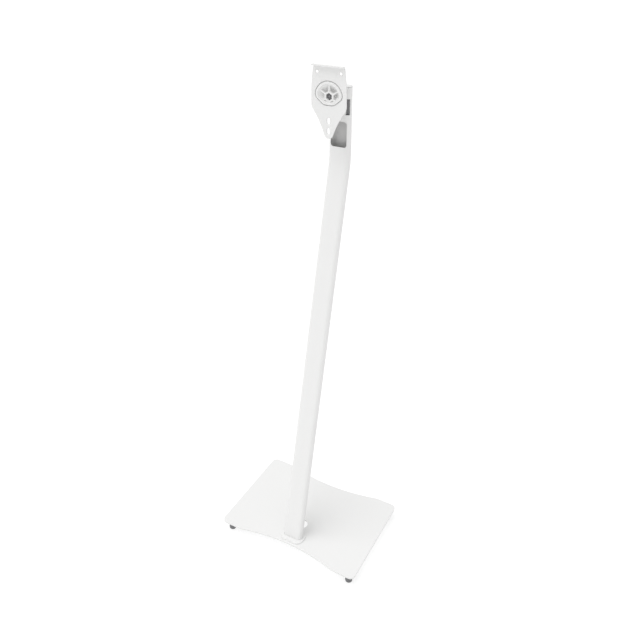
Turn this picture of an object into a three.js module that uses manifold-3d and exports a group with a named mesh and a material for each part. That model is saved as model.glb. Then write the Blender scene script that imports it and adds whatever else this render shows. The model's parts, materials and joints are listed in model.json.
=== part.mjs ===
// Free-standing pole stand with a tilting, turning mounting head.
// Millimetres, +Z up, the customer stands on the -Y side, the floor is Z = 0.
import * as THREE from "three";
import { mergeVertices } from "three/addons/utils/BufferGeometryUtils.js";
import Module from "manifold-3d";

const wasm = await Module();
wasm.setup();

// ---- Driving dimensions ----

const GAP = 0.3; // clearance between pieces that touch
const ROUND = 20; // facets on a small round piece
const SCREW_FACETS = 14;
const PAST = 1; // how far a cutter starts outside the face it opens
const SLIVER = 0.1; // the same for a sloping cutter
const ACROSS = 20; // half length of a cutter that passes right through the head

// Base plate: a rectangle whose two long edges are cut back in a shallow arc.
const BASE_WIDTH = 350;
const BASE_DEPTH = 240;
const BASE_THICKNESS = 5;
const BASE_CORNER = 12;
const EDGE_ARC_SAGITTA = 16.5;
const EDGE_ARC_HALF_CHORD = 122;
const EDGE_ARC_FILLET = 60;
const CABLE_HOLE_RADIUS = 12.5;
const CABLE_HOLE_BEHIND_POLE = 42;

// Feet: tall rubber bumpers, each held by a screw from below.
const FOOT_HEIGHT = 26;
const FOOT_RADIUS = 8.2;
const FOOT_X = 157;
const FOOT_Y = 103;
const FOOT_BORE_RADIUS = 5.1;
const FOOT_SEAT = 10;
const FOOT_EDGE = 0.8;
const FOOT_TAPER = 0.4;
const FOOT_SCREW_RADIUS = 2.5;
const FOOT_SCREW_BITE = 3.4;

// Pole: a flat-oval tube that leans back from its foot and turns upright near its top.
const POLE_WIDTH = 46;
const POLE_DEPTH = 17.5;
const POLE_WALL = 1.5;
const POLE_FOOT_Y = -79.5;
const POLE_LEAN = THREE.MathUtils.degToRad(14);
const BEND_HEIGHT = 852;
const BEND_RADIUS = 150;
const BEND_STEPS = 5;
const POLE_TOP = 996.5;

// Openings in the pole, as heights above the base plate.
const WINDOW_WIDTH = 34.5;
const WINDOW_BOTTOM = 878.5;
const WINDOW_TOP = 929;
const WINDOW_CORNER = 6;
const NOTCH_BOTTOM = 942.5;
const NOTCH_TOP = 972.5;
const NOTCH_CUT = 5.3;
const NOTCH_CORNER = 1;
const INLET_WIDTH = 22;
const INLET_BOTTOM = 38;
const INLET_TOP = 82;
const INLET_CORNER = 9;

// Collar, anchor and bolts at the pole's foot.
const COLLAR_WIDTH = 56;
const COLLAR_DEPTH = 38;
const COLLAR_CORNER = 15;
const COLLAR_HEIGHT = 3.2;
const ANCHOR_HEIGHT = 20;
const ANCHOR_BOLT_X = 12;
const ANCHOR_BOLT_BITE = 14;
const ANCHOR_WASHER = { radius: 6.2, thickness: 1.2 };

// Head: the arm that leaves the pole's notch, and the tilt and turning joints on it.
const PIN_FORWARD = 22.9; // tilt pin in front of the upright pole's axis
const HEAD_HEIGHT = 984; // tilt pin and hub axis above the base plate
const PIN_RADIUS = 3;
const EAR_INNER = 6.2;
const EAR_OUTER = 10.2;
const EAR_RADIUS = 8.5;
const WASHER_THICKNESS = 1;
const CHEEK_INNER = EAR_OUTER + GAP + WASHER_THICKNESS + GAP;
const CHEEK_THICKNESS = 2.5;
const CHEEK_OUTER = CHEEK_INNER + CHEEK_THICKNESS;
const CHEEK_BOSS = 10;
const CHEEK_BOSS_END = THREE.MathUtils.degToRad(214); // where the boss turns into the cheek's underside
const CHEEK_UNDERSIDE = { rise: 5, start: -2, bend: -1.5, end: 4 };
const ARM_WEB_REAR = 18.2;
const ARM_SCREW_LENGTH = 12;
const ARM_SCREW_DROPS = { upper: -19, lower: -34 };
const NECK_SCREW_DROPS = { upper: -4.5, lower: -46 };
const NECK_SCREW_LENGTH = 13.5;
const COUNTERSINK = { deep: 2.4, rim: 0.1 };
const INSERT_LENGTH = 50;
const INSERT_BORE = 11;
const INSERT_RELIEF = 1; // clearance above and below the notch
const CAP_SKIRT = 9;
const CAP_TOP = 2;
const CAP_WALL = 2;

// The stack along the hub axis, as distances in front of the tilt pin.
const FLANGE_REAR = 11.1;
const FLANGE_FRONT = 14.6;
const FLANGE_RADIUS = 18;
const FLANGE_FLAT = 13; // turning axis to the flange's cut-off underside
const ROLL_WASHER_RADIUS = 16;
const ROLL_WASHER_FRONT = 16.2;
const HUB_REAR = 16.5;
const MOUNT_BACK = 25.1;
const MOUNT_FRONT = 27.6;
const HUB_FRONT = 28.9;
const HUB_DISH = 26.3; // front of the ribs and of the hexagonal middle
const HUB_FLANGE_REAR = 21.4;
const HUB_FLOOR_REAR = 17.9; // deepest place of the pockets, next to the middle
const NUT_SEAT = 20.3;

// Hub: a round disc with three flats along its lower side.
const HUB_RADIUS = 27.6;
const HUB_FLAT = 15.3;
const HUB_CHAMFER = 18.6;
const HUB_CHAMFER_ANGLE = THREE.MathUtils.degToRad(51);
const HUB_REAR_INSET = 3.4;
const HUB_FLANGE_INSET = -4; // the flange reaches behind the plate
const HUB_CORNER = 6; // how far a corner's rounding reaches along its sides
const HUB_FLAT_SHARE = 0.8; // how much of an inset the flats follow
const HUB_SEGMENTS = 7;
const RIM_SHOULDER = 2.4; // rounding of the rim's outer edge
const SHOULDER_EASE = 0.3; // share of the rounding at its middle section
const RIM_INSET = 4.4; // outer edge to the start of the dish
const DISH_INSET = 6.4;
const FLOOR_INSET = 15;
const RIB_WIDTH = 2.8;
const HEX_WALL_FLATS = 18.4;
const HEX_RECESS_FLATS = 11.8;

// Mounting plate, measured from the hub axis.
const PLATE_TOP = 53.1;
const PLATE_TOP_HALF = 32.2;
const PLATE_HALF = 36.4;
const PLATE_WIDEST = 0;
const PLATE_SHOULDER = -16.6;
const PLATE_SHOULDER_RADIUS = 12;
const PLATE_TIP = -78.1;
const PLATE_TIP_RADIUS = 9.5;
const TAPER_ANGLE = THREE.MathUtils.degToRad(34);
const TIP_ANGLE = THREE.MathUtils.degToRad(18);
const TAPER_PULL = [15.3, -51];
const OPENING_GAP = 1.4; // hub to the plate's opening
const FIXING_HOLE = { radius: 2.6, x: 24.3, z: 43 };
const SLOT_SEGMENTS = 5;
const SLOT = { radius: 3, length: 11, centres: [-45, -64], sink: 2 };
const LIP_ANGLE = THREE.MathUtils.degToRad(88);
const LIP_LENGTH = 6.5;
const LIP_BEND = 1.5;
const LIP_START = PLATE_TOP - 0.5;
const LIP_OVERLAP = 4; // the lip's section reaches down into the plate

// Fastener sizes: nominal 6 mm and 5 mm hardware.
const M6_HEAD_RADIUS = 5.25;
const M6_HEAD_HEIGHT = 3.3;
const M6_NUT_FLATS = 10;
const M6_NUT_HEIGHT = 5;
const M6_THIN_NUT_HEIGHT = 3.2;
const M5_HEAD_RADIUS = 4.7;
const M5_HEAD_HEIGHT = 2.7;
const M5_RADIUS = 2.5;
const SPACER_RADIUS = 4.8;
const NUT_CHAMFER = { inset: 0.9, rise: 0.6 };
const THREAD_END = { tilt: 2, roll: 0.6 }; // bolt beyond its nut
const SCREW_HEAD = { socket: 0.42, crown: 0.72, socketDepth: 0.55, side: 0.6 }; // shares of the head

// ---- Derived places ----

const POLE_UPPER_Y = POLE_FOOT_Y + BEND_HEIGHT * Math.tan(POLE_LEAN);
const POLE_REAR_Y = POLE_UPPER_Y + POLE_DEPTH / 2;
const CENTRE_Y = (POLE_REAR_Y - BASE_DEPTH / 2) / 2; // middle of the whole footprint
const DECK = FOOT_HEIGHT + GAP + BASE_THICKNESS; // height of the base plate's top
const BORE_WIDTH = POLE_WIDTH - 2 * POLE_WALL;
const BORE_DEPTH = POLE_DEPTH - 2 * POLE_WALL;
const FRONT_FACE = POLE_UPPER_Y - POLE_DEPTH / 2;

// ---- Materials ----

const finish = (color, roughness, metalness = 0) => () =>
  new THREE.MeshStandardMaterial({ color, roughness, metalness });
const whitePaint = finish(0xeeeeec, 0.45);
const whitePlastic = finish(0xf1f1ef, 0.38);
const darkPlastic = finish(0x4b4b4d, 0.6);
const rubber = finish(0x3f3f41, 0.85);
const darkSteel = finish(0x55565a, 0.4, 0.9);
const zincSteel = finish(0xa9abae, 0.35, 1);
const nylon = finish(0xd9d7cf, 0.55);

// ---- Solids: closed geometries joined and cut ----

function solid(geometry) {
  const bare = geometry.index ? geometry.toNonIndexed() : geometry.clone();
  bare.deleteAttribute("normal");
  bare.deleteAttribute("uv");
  const merged = mergeVertices(bare, 1e-4);
  return new wasm.Manifold(
    new wasm.Mesh({
      numProp: 3,
      vertProperties: merged.attributes.position.array,
      triVerts: new Uint32Array(merged.index.array),
    }),
  );
}

function geometryOf(made) {
  const { vertProperties, triVerts } = made.getMesh();
  const geometry = new THREE.BufferGeometry();
  geometry.setAttribute("position", new THREE.BufferAttribute(vertProperties, 3));
  geometry.setIndex(new THREE.BufferAttribute(triVerts, 1));
  const faceted = geometry.toNonIndexed();
  faceted.computeVertexNormals();
  return faceted;
}

// A flat outline given thickness: lying in X-Y, standing in X-Z, or standing in Y-Z.
function slab(shape, thickness, curveSegments = 8) {
  const options = { depth: thickness, bevelEnabled: false, curveSegments };
  return new THREE.ExtrudeGeometry(shape, options);
}

function slabXY(shape, low, high, curveSegments) {
  return solid(slab(shape, high - low, curveSegments).translate(0, 0, low));
}

function slabXZ(shape, near, far, curveSegments) {
  const made = slab(shape, far - near, curveSegments);
  return solid(made.rotateX(Math.PI / 2).translate(0, far, 0));
}

function slabYZ(shape, left, right, curveSegments) {
  const [x, y, z] = [new THREE.Vector3(1, 0, 0), new THREE.Vector3(0, 1, 0), new THREE.Vector3(0, 0, 1)];
  const turned = new THREE.Matrix4().makeBasis(y, z, x);
  return solid(slab(shape, right - left, curveSegments).applyMatrix4(turned).translate(left, 0, 0));
}

// A turned piece: pairs of radius and height along its axis, starting and ending on the axis.
function turned(profile, facets = ROUND) {
  return new THREE.LatheGeometry(profile.map(([r, h]) => new THREE.Vector2(r, h)), facets);
}

const turnedY = (profile, facets) => solid(turned(profile, facets));
const turnedZ = (profile, facets) => solid(turned(profile, facets).rotateX(Math.PI / 2));
const turnedX = (profile, facets) => solid(turned(profile, facets).rotateZ(-Math.PI / 2));
const rod = (radius, low, high) => [[0, low], [radius, low], [radius, high], [0, high]];

function rectangle(left, bottom, width, height) {
  const [right, top] = [left + width, bottom + height];
  const corners = [[left, bottom], [right, bottom], [right, top], [left, top]];
  return new THREE.Shape(corners.map(([u, v]) => new THREE.Vector2(u, v)));
}

function roundedRectangle(left, bottom, width, height, radius) {
  const [right, top] = [left + width, bottom + height];
  const shape = new THREE.Shape();
  shape.absarc(right - radius, bottom + radius, radius, -Math.PI / 2, 0);
  shape.absarc(right - radius, top - radius, radius, 0, Math.PI / 2);
  shape.absarc(left + radius, top - radius, radius, Math.PI / 2, Math.PI);
  shape.absarc(left + radius, bottom + radius, radius, Math.PI, 1.5 * Math.PI);
  return shape;
}

// A closed skin through outlines of the same kind, each standing in X-Z at its own depth.
function loftXZ(sections, curveSegments) {
  const loops = sections.map(([shape]) => shape.getPoints(curveSegments));
  const count = loops[0].length;
  const points = loops.flatMap((loop, i) => loop.map((p) => [p.x, sections[i][1], p.y]));
  const cap = THREE.ShapeUtils.triangulateShape(loops[0], []);
  const last = count * (loops.length - 1);
  const triangles = cap.flatMap(([a, b, c]) => [a, b, c, last + c, last + b, last + a]);
  for (let row = 0; row < last; row += count) {
    for (let i = 0; i < count; i += 1) {
      const [a, b] = [row + i, row + ((i + 1) % count)];
      triangles.push(a, b + count, b, a, a + count, b + count);
    }
  }
  const geometry = new THREE.BufferGeometry();
  geometry.setAttribute("position", new THREE.Float32BufferAttribute(points.flat(), 3));
  geometry.setIndex(triangles);
  return solid(geometry);
}

// The flat-oval section: straight long sides and half-round ends.
function ovalSection(width, depth) {
  const offset = (width - depth) / 2;
  const shape = new THREE.Shape();
  shape.absarc(offset, 0, depth / 2, -Math.PI / 2, Math.PI / 2);
  shape.absarc(-offset, 0, depth / 2, Math.PI / 2, 1.5 * Math.PI);
  return shape;
}

function hexagon(acrossFlats) {
  const corner = acrossFlats / Math.sqrt(3);
  const points = Array.from({ length: 6 }, (_, i) => {
    const angle = Math.PI / 2 + (i * Math.PI) / 3;
    return new THREE.Vector2(corner * Math.cos(angle), corner * Math.sin(angle));
  });
  return new THREE.Shape(points);
}

// ---- Scene graph ----

const stand = new THREE.Group();
stand.position.set(0, -CENTRE_Y, 0);
const deck = new THREE.Group();
deck.position.set(0, 0, DECK);
const head = new THREE.Group();
head.position.set(0, POLE_UPPER_Y - PIN_FORWARD, HEAD_HEIGHT);
stand.add(deck);
deck.add(head);

function place(parent, name, geometry, material, position = [0, 0, 0]) {
  const mesh = new THREE.Mesh(geometry.isBufferGeometry ? geometry : geometryOf(geometry), material());
  mesh.name = name;
  mesh.position.set(...position);
  parent.add(mesh);
}

// ---- Base plate ----

// One long edge from right to left: tab, fillet, shallow arc, fillet, tab.
function addLongEdge(shape, side) {
  const line = (side * BASE_DEPTH) / 2;
  const arcRadius =
    (EDGE_ARC_HALF_CHORD ** 2 + EDGE_ARC_SAGITTA ** 2) / (2 * EDGE_ARC_SAGITTA);
  const arcCentre = line + side * (arcRadius - EDGE_ARC_SAGITTA);
  const filletCentre = line - side * EDGE_ARC_FILLET;
  const reach = arcRadius + EDGE_ARC_FILLET;
  const filletX = Math.sqrt(reach ** 2 - (arcCentre - filletCentre) ** 2);
  const turn = Math.asin(filletX / reach);
  const outward = (side * Math.PI) / 2;
  const first = side * filletX;
  shape.absarc(first, filletCentre, EDGE_ARC_FILLET, outward, outward + turn, false);
  shape.absarc(0, arcCentre, arcRadius, -outward + turn, -outward - turn, true);
  shape.absarc(-first, filletCentre, EDGE_ARC_FILLET, outward - turn, outward, false);
}

function basePlateOutline() {
  const [x, y, r] = [BASE_WIDTH / 2 - BASE_CORNER, BASE_DEPTH / 2 - BASE_CORNER, BASE_CORNER];
  const shape = new THREE.Shape();
  shape.absarc(x, y, r, 0, Math.PI / 2);
  addLongEdge(shape, 1);
  shape.absarc(-x, y, r, Math.PI / 2, Math.PI);
  shape.absarc(-x, -y, r, Math.PI, 1.5 * Math.PI);
  addLongEdge(shape, -1);
  shape.absarc(x, -y, r, 1.5 * Math.PI, 2 * Math.PI);
  return shape;
}

const footPlaces = {
  front_left: [-FOOT_X, -FOOT_Y],
  front_right: [FOOT_X, -FOOT_Y],
  rear_left: [-FOOT_X, FOOT_Y],
  rear_right: [FOOT_X, FOOT_Y],
};
const anchorBoltY = POLE_FOOT_Y + (Math.tan(POLE_LEAN) * ANCHOR_BOLT_BITE) / 2;
const anchorBoltPlaces = { left: -ANCHOR_BOLT_X, right: ANCHOR_BOLT_X };

function basePlate() {
  let plate = slabXY(basePlateOutline(), -BASE_THICKNESS, 0, 4);
  const through = (radius) => turnedZ(rod(radius, -BASE_THICKNESS - PAST, PAST));
  const cableY = POLE_FOOT_Y + CABLE_HOLE_BEHIND_POLE;
  plate = plate.subtract(through(CABLE_HOLE_RADIUS).translate([0, cableY, 0]));
  for (const x of Object.values(anchorBoltPlaces)) {
    plate = plate.subtract(through(PIN_RADIUS + GAP).translate([x, anchorBoltY, 0]));
  }
  const blindTop = FOOT_SCREW_BITE + GAP - BASE_THICKNESS;
  const blind = turnedZ(rod(FOOT_SCREW_RADIUS + GAP, -BASE_THICKNESS - PAST, blindTop));
  for (const [x, y] of Object.values(footPlaces)) {
    plate = plate.subtract(blind.translate([x, y, 0]));
  }
  return plate;
}

place(deck, "base_plate", basePlate(), whitePaint);

// ---- Feet, seen from the floor up ----

function foot() {
  const [r, edge, h] = [FOOT_RADIUS, FOOT_EDGE, FOOT_HEIGHT];
  const low = r - FOOT_TAPER;
  const body = turnedZ([[0, 0], [low - edge, 0], [low, edge], [r, h - edge], [r - edge, h], [0, h]]);
  const counterbore = turnedZ(rod(FOOT_BORE_RADIUS, -PAST, FOOT_SEAT));
  const clearance = turnedZ(rod(FOOT_SCREW_RADIUS + GAP, 0, h + PAST));
  return body.subtract(counterbore).subtract(clearance);
}

// A domed screw standing on its head, its shank pointing up.
function domedScrew(headRadius, headHeight, shankRadius, shankLength) {
  const socket = headRadius * SCREW_HEAD.socket;
  const floor = headHeight * SCREW_HEAD.socketDepth;
  return turned([
    [0, floor],
    [socket, floor],
    [socket, 0],
    [headRadius * SCREW_HEAD.crown, 0],
    [headRadius, headHeight * SCREW_HEAD.side],
    [headRadius, headHeight],
    [shankRadius, headHeight],
    [shankRadius, headHeight + shankLength],
    [0, headHeight + shankLength],
  ], SCREW_FACETS);
}

const footGeometry = geometryOf(foot());
const footShank = FOOT_HEIGHT - FOOT_SEAT + FOOT_SCREW_BITE;
const footScrew = domedScrew(M5_HEAD_RADIUS, M5_HEAD_HEIGHT, FOOT_SCREW_RADIUS, footShank);
footScrew.rotateX(Math.PI / 2);
for (const [corner, [x, y]] of Object.entries(footPlaces)) {
  place(stand, `foot_${corner}`, footGeometry, rubber, [x, y, 0]);
  const headBottom = FOOT_SEAT - GAP - M5_HEAD_HEIGHT;
  place(stand, `foot_screw_${corner}`, footScrew, zincSteel, [x, y, headBottom]);
}

// ---- Pole ----

// The pole's axis: straight, a circular bend, then upright. Its stations are the ends of each stretch.
class PoleAxis extends THREE.Curve {
  constructor(low, high) {
    super();
    const setback = BEND_RADIUS * Math.tan(POLE_LEAN / 2);
    this.bendCentre = new THREE.Vector3(0, POLE_UPPER_Y - BEND_RADIUS, BEND_HEIGHT + setback);
    this.ends = [low, high];
    this.steps = BEND_STEPS + 2;
  }

  leanAt(t) {
    const share = (t * this.steps - 1) / BEND_STEPS;
    return POLE_LEAN * (1 - THREE.MathUtils.clamp(share, 0, 1));
  }

  getPointAt(t) {
    const lean = this.leanAt(t);
    const onBend = new THREE.Vector3(0, Math.cos(lean), -Math.sin(lean));
    const point = onBend.multiplyScalar(BEND_RADIUS).add(this.bendCentre);
    const end = t === 0 ? this.ends[0] : t === 1 ? this.ends[1] : point.z;
    point.y += (end - point.z) * Math.tan(lean);
    point.z = end;
    return point;
  }

  getTangentAt(t) {
    const lean = this.leanAt(t);
    return new THREE.Vector3(0, Math.sin(lean), Math.cos(lean));
  }
}

// A solid bar of flat-oval section along the pole's axis, cut level at both ends.
function poleBar(width, depth, low, high, curveSegments = 4) {
  const axis = new PoleAxis(low - depth, high);
  const options = { steps: axis.steps, bevelEnabled: false, extrudePath: axis, curveSegments };
  const bar = solid(new THREE.ExtrudeGeometry(ovalSection(width, depth), options));
  return bar.trimByPlane([0, 0, 1], low);
}

// The same section, upright only.
function uprightBar(width, depth, low, high) {
  return slabXY(ovalSection(width, depth), low, high, 4).translate([0, POLE_UPPER_Y, 0]);
}

// A countersunk screw, flush with the pole's back; with growth it is the cutter for its seat.
const neckScrewProfile = (grow, rear) => [
  [0, -NECK_SCREW_LENGTH - grow],
  [M5_RADIUS + grow, -NECK_SCREW_LENGTH - grow],
  [M5_RADIUS + grow, -COUNTERSINK.deep],
  [M5_HEAD_RADIUS + grow, -COUNTERSINK.rim],
  [M5_HEAD_RADIUS + grow, rear],
  [0, rear],
];

function cutNeckScrews(made) {
  const cutter = turnedY(neckScrewProfile(GAP, PAST), SCREW_FACETS);
  for (const drop of Object.values(NECK_SCREW_DROPS)) {
    made = made.subtract(cutter.translate([0, POLE_REAR_Y, HEAD_HEIGHT + drop]));
  }
  return made;
}

// The notch's outline, wider than the pole, with more room above and below if grown.
function notchShape(grow) {
  const height = NOTCH_TOP - NOTCH_BOTTOM + 2 * grow;
  return roundedRectangle(-POLE_WIDTH, NOTCH_BOTTOM - grow, 2 * POLE_WIDTH, height, NOTCH_CORNER);
}

function poleTube() {
  const top = POLE_TOP - CAP_TOP - GAP;
  let tube = poleBar(POLE_WIDTH, POLE_DEPTH, GAP, top);
  tube = tube.subtract(poleBar(BORE_WIDTH, BORE_DEPTH, GAP - PAST, top + PAST));
  const windowShape = roundedRectangle(
    -WINDOW_WIDTH / 2, WINDOW_BOTTOM, WINDOW_WIDTH, WINDOW_TOP - WINDOW_BOTTOM, WINDOW_CORNER,
  );
  tube = tube.subtract(slabXZ(windowShape, FRONT_FACE - PAST, POLE_UPPER_Y, 3));
  tube = tube.subtract(slabXZ(notchShape(0), FRONT_FACE - PAST, FRONT_FACE + NOTCH_CUT, 1));
  const inletShape = roundedRectangle(
    -INLET_WIDTH / 2, INLET_BOTTOM, INLET_WIDTH, INLET_TOP - INLET_BOTTOM, INLET_CORNER,
  );
  const inletMiddle = POLE_FOOT_Y + (Math.tan(POLE_LEAN) * (INLET_BOTTOM + INLET_TOP)) / 2;
  const inlet = slabXZ(inletShape, inletMiddle, inletMiddle + 2 * POLE_DEPTH, 3);
  return cutNeckScrews(tube.subtract(inlet));
}

function poleCap() {
  const bottom = POLE_TOP - CAP_TOP;
  const [width, depth] = [BORE_WIDTH - 2 * GAP, BORE_DEPTH - 2 * GAP];
  const skirt = uprightBar(width, depth, bottom - CAP_SKIRT, bottom + CAP_TOP / 2);
  const hollow = uprightBar(
    width - 2 * CAP_WALL, depth - 2 * CAP_WALL, bottom - CAP_SKIRT - PAST, bottom,
  );
  return uprightBar(POLE_WIDTH, POLE_DEPTH, bottom, POLE_TOP).add(skirt).subtract(hollow);
}

function footCollar() {
  const outline = roundedRectangle(
    -COLLAR_WIDTH / 2, POLE_FOOT_Y - COLLAR_DEPTH / 2, COLLAR_WIDTH, COLLAR_DEPTH, COLLAR_CORNER,
  );
  const hole = poleBar(POLE_WIDTH + 2 * GAP, POLE_DEPTH + 2 * GAP, -PAST, POLE_TOP);
  return slabXY(outline, GAP, COLLAR_HEIGHT, 4).subtract(hole);
}

function poleAnchor() {
  const bar = poleBar(BORE_WIDTH - 2 * GAP, BORE_DEPTH - 2 * GAP, GAP, POLE_TOP);
  let anchor = bar.trimByPlane([0, 0, -1], -ANCHOR_HEIGHT);
  const bore = turnedZ(rod(PIN_RADIUS + GAP, -PAST, ANCHOR_BOLT_BITE + 1));
  for (const x of Object.values(anchorBoltPlaces)) {
    anchor = anchor.subtract(bore.translate([x, anchorBoltY, 0]));
  }
  return anchor;
}

function flatRing(inner, outer, thickness) {
  return turned([[inner, 0], [outer, 0], [outer, thickness], [inner, thickness], [inner, 0]], ROUND);
}

place(deck, "pole_tube", poleTube(), whitePaint);
place(deck, "pole_cap", poleCap(), whitePlastic);
place(deck, "foot_collar", footCollar(), whitePlastic);
place(deck, "pole_anchor", poleAnchor(), zincSteel);

const anchorWasher = flatRing(PIN_RADIUS + GAP, ANCHOR_WASHER.radius, ANCHOR_WASHER.thickness);
anchorWasher.rotateX(Math.PI / 2);
const washerBottom = -BASE_THICKNESS - GAP - ANCHOR_WASHER.thickness;
const anchorHead = washerBottom - GAP - M6_HEAD_HEIGHT;
const anchorShank = ANCHOR_BOLT_BITE - washerBottom + GAP;
const anchorBolt = domedScrew(M6_HEAD_RADIUS, M6_HEAD_HEIGHT, PIN_RADIUS, anchorShank);
anchorBolt.rotateX(Math.PI / 2);
for (const [side, x] of Object.entries(anchorBoltPlaces)) {
  place(deck, `anchor_washer_${side}`, anchorWasher, zincSteel, [x, anchorBoltY, washerBottom]);
  place(deck, `anchor_bolt_${side}`, anchorBolt, zincSteel, [x, anchorBoltY, anchorHead]);
}

// ---- Neck insert: the block inside the pole that carries the arm ----

const toHead = (y) => y - (POLE_UPPER_Y - PIN_FORWARD);

function neckInsert() {
  const low = HEAD_HEIGHT - INSERT_LENGTH;
  let block = uprightBar(BORE_WIDTH - 2 * GAP, BORE_DEPTH - 2 * GAP, low, HEAD_HEIGHT);
  const seat = POLE_UPPER_Y - PIN_FORWARD + ARM_WEB_REAR + GAP;
  block = block.subtract(slabXZ(notchShape(INSERT_RELIEF), FRONT_FACE, seat, 1));
  const bore = turnedY(rod(M5_RADIUS + GAP, -PAST, INSERT_BORE));
  for (const drop of Object.values(ARM_SCREW_DROPS)) {
    block = block.subtract(bore.translate([0, seat, HEAD_HEIGHT + drop]));
  }
  return cutNeckScrews(block);
}

place(deck, "neck_insert", neckInsert(), darkPlastic);
const neckScrew = turned(neckScrewProfile(0, 0), SCREW_FACETS);
for (const [level, drop] of Object.entries(NECK_SCREW_DROPS)) {
  place(deck, `neck_screw_${level}`, neckScrew, zincSteel, [0, POLE_REAR_Y, HEAD_HEIGHT + drop]);
}

// ---- Arm: a channel whose two cheeks hold the tilt pin. Head frame: origin on the tilt pin ----

function cheekOutline() {
  const bottom = NOTCH_BOTTOM + GAP - HEAD_HEIGHT;
  const top = NOTCH_TOP - GAP - HEAD_HEIGHT;
  const front = toHead(FRONT_FACE);
  const shape = new THREE.Shape();
  shape.moveTo(ARM_WEB_REAR, bottom);
  shape.lineTo(ARM_WEB_REAR, top);
  shape.lineTo(front - 1, top);
  shape.absarc(0, 0, CHEEK_BOSS, 0, CHEEK_BOSS_END);
  shape.lineTo(CHEEK_UNDERSIDE.start, bottom + CHEEK_UNDERSIDE.rise);
  shape.quadraticCurveTo(CHEEK_UNDERSIDE.bend, bottom, CHEEK_UNDERSIDE.end, bottom);
  return shape;
}

function headArm() {
  let arm = slabYZ(cheekOutline(), -CHEEK_OUTER, CHEEK_OUTER, 6);
  const [near, far] = [-CHEEK_BOSS - PAST, ARM_WEB_REAR - CHEEK_THICKNESS];
  const [low, high] = [NOTCH_BOTTOM - HEAD_HEIGHT - PAST, CHEEK_BOSS + PAST];
  const channel = rectangle(near, low, far - near, high - low);
  arm = arm.subtract(slabYZ(channel, -CHEEK_INNER, CHEEK_INNER));
  arm = arm.subtract(turnedX(rod(PIN_RADIUS + GAP, -ACROSS, ACROSS)));
  const hole = turnedY(rod(M5_RADIUS + GAP, far - PAST, ARM_WEB_REAR + PAST));
  for (const drop of Object.values(ARM_SCREW_DROPS)) arm = arm.subtract(hole.translate([0, 0, drop]));
  return arm;
}

place(head, "head_arm", headArm(), whitePaint);
const armScrew = domedScrew(M5_HEAD_RADIUS, M5_HEAD_HEIGHT, M5_RADIUS, ARM_SCREW_LENGTH);
const armScrewFront = ARM_WEB_REAR - CHEEK_THICKNESS - GAP - M5_HEAD_HEIGHT;
for (const [level, drop] of Object.entries(ARM_SCREW_DROPS)) {
  place(head, `arm_screw_${level}`, armScrew, zincSteel, [0, armScrewFront, drop]);
}

// ---- Tilt joint ----

function hexNut(height) {
  const nut = slabXY(hexagon(M6_NUT_FLATS), 0, height, 4);
  const corner = M6_NUT_FLATS / Math.sqrt(3);
  const inner = corner - NUT_CHAMFER.inset;
  const rise = NUT_CHAMFER.rise;
  const dome = turnedZ([
    [0, -PAST], [inner, -PAST], [inner, 0], [corner, rise],
    [corner, height - rise], [inner, height], [inner, height + PAST], [0, height + PAST],
  ], SCREW_FACETS);
  return nut.intersect(dome).subtract(turnedZ(rod(PIN_RADIUS + GAP, -PAST, height + PAST)));
}

const tiltHead = CHEEK_OUTER + GAP;
const tiltShank = 2 * tiltHead + M6_NUT_HEIGHT + THREAD_END.tilt;
const tiltBolt = domedScrew(M6_HEAD_RADIUS, M6_HEAD_HEIGHT, PIN_RADIUS, tiltShank);
tiltBolt.rotateZ(Math.PI / 2);
place(head, "tilt_bolt", tiltBolt, darkSteel, [tiltHead + M6_HEAD_HEIGHT, 0, 0]);
const tiltNut = geometryOf(hexNut(M6_NUT_HEIGHT)).rotateY(-Math.PI / 2);
place(head, "tilt_nut", tiltNut, darkSteel, [-tiltHead, 0, 0]);
const tiltWasher = flatRing(PIN_RADIUS + GAP, EAR_RADIUS, WASHER_THICKNESS).rotateZ(-Math.PI / 2);
place(head, "tilt_washer_right", tiltWasher, nylon, [EAR_OUTER + GAP, 0, 0]);
place(head, "tilt_washer_left", tiltWasher, nylon, [-EAR_OUTER - GAP - WASHER_THICKNESS, 0, 0]);
const spacerHalf = EAR_INNER - GAP;
const tiltSpacer = flatRing(PIN_RADIUS + GAP, SPACER_RADIUS, 2 * spacerHalf).rotateZ(-Math.PI / 2);
place(head, "tilt_spacer", tiltSpacer, zincSteel, [-spacerHalf, 0, 0]);

// ---- Hub outline, shared by the hub's sections and the plate's opening ----

function hubOutline(inset) {
  const eased = HUB_FLAT_SHARE * inset;
  const [radius, flat, chamfer] = [HUB_RADIUS - inset, HUB_FLAT - eased, HUB_CHAMFER - eased];
  const [sin, cos] = [Math.sin(HUB_CHAMFER_ANGLE), Math.cos(HUB_CHAMFER_ANGLE)];
  const turn = Math.acos(chamfer / radius) - HUB_CHAMFER_ANGLE;
  const [highX, highZ] = [radius * Math.cos(turn), radius * Math.sin(turn)];
  const lowX = (chamfer - flat * sin) / cos;
  const reach = HUB_CORNER * (1 - inset / HUB_RADIUS);
  const arcStart = turn + reach / radius;
  const [risenX, risenZ] = [lowX + reach * sin, reach * cos - flat];
  const shape = new THREE.Shape();
  shape.moveTo(reach - lowX, -flat);
  shape.lineTo(lowX - reach, -flat);
  shape.quadraticCurveTo(lowX, -flat, risenX, risenZ);
  shape.lineTo(highX - reach * sin, highZ - reach * cos);
  shape.quadraticCurveTo(highX, highZ, radius * Math.cos(arcStart), radius * Math.sin(arcStart));
  shape.absarc(0, 0, radius, arcStart, Math.PI - arcStart);
  shape.quadraticCurveTo(-highX, highZ, reach * sin - highX, highZ - reach * cos);
  shape.lineTo(-risenX, risenZ);
  shape.quadraticCurveTo(-lowX, -flat, reach - lowX, -flat);
  return shape;
}

// ---- Knuckle: the flange that the hub turns on, with two ears on the tilt pin ----

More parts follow.
